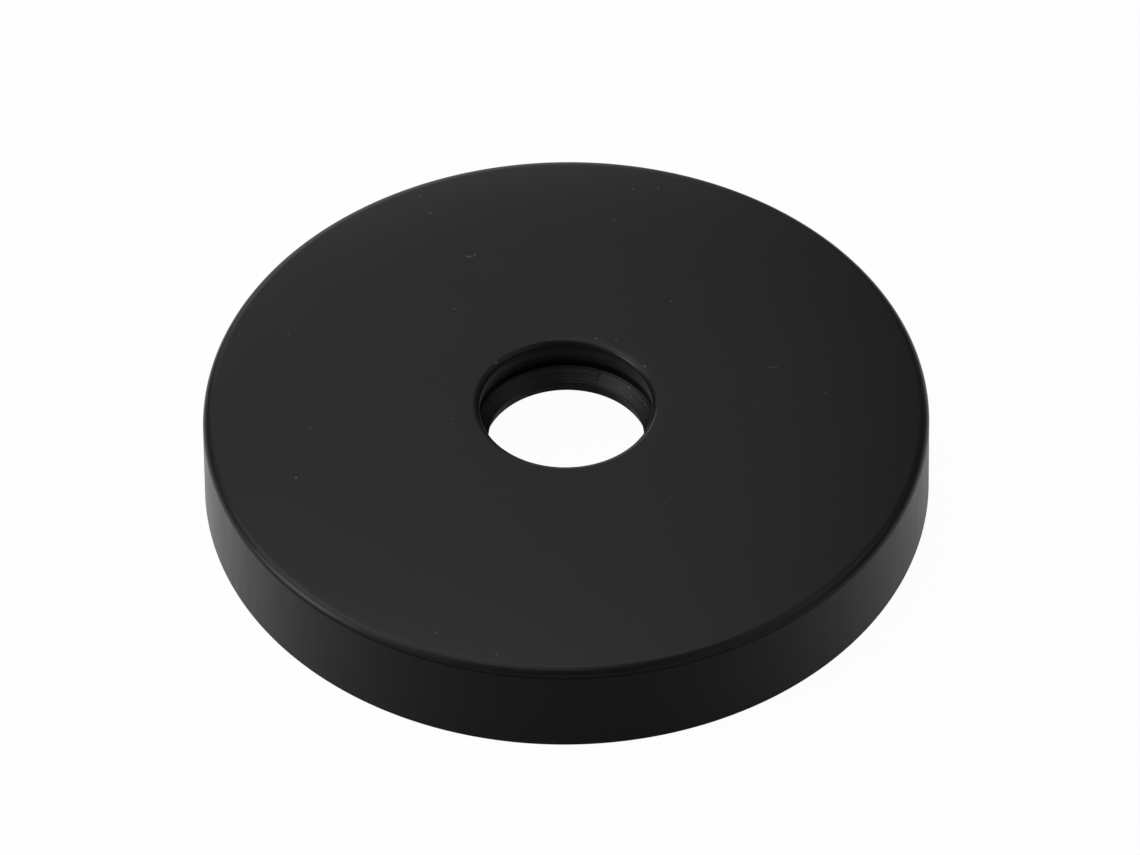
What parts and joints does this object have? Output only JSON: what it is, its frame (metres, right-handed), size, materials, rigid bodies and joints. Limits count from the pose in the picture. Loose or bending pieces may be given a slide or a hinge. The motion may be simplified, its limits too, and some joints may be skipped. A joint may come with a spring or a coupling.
{
  "type": "shower arm flange",
  "caption": "Round matte black cover flange with a rounded corner and a hollow back, which hides the wall hole round a shower arm; a soft ring behind its lip grips the pipe.",
  "frame": {"origin": "centre of the rim that lies against the wall, on the pipe's axis", "axes": "+Z along the pipe's axis, from the wall to the flat face; X and Y lie in the wall's plane"},
  "size_m": [0.094, 0.094, 0.0135],
  "materials": {
    "cover_coat": "matte",
    "grip_rubber": "satin"
  },
  "bodies": {
    "root": {"cover": "cover_coat", "grip_ring": "grip_rubber"}
  },
  "joints": []
}
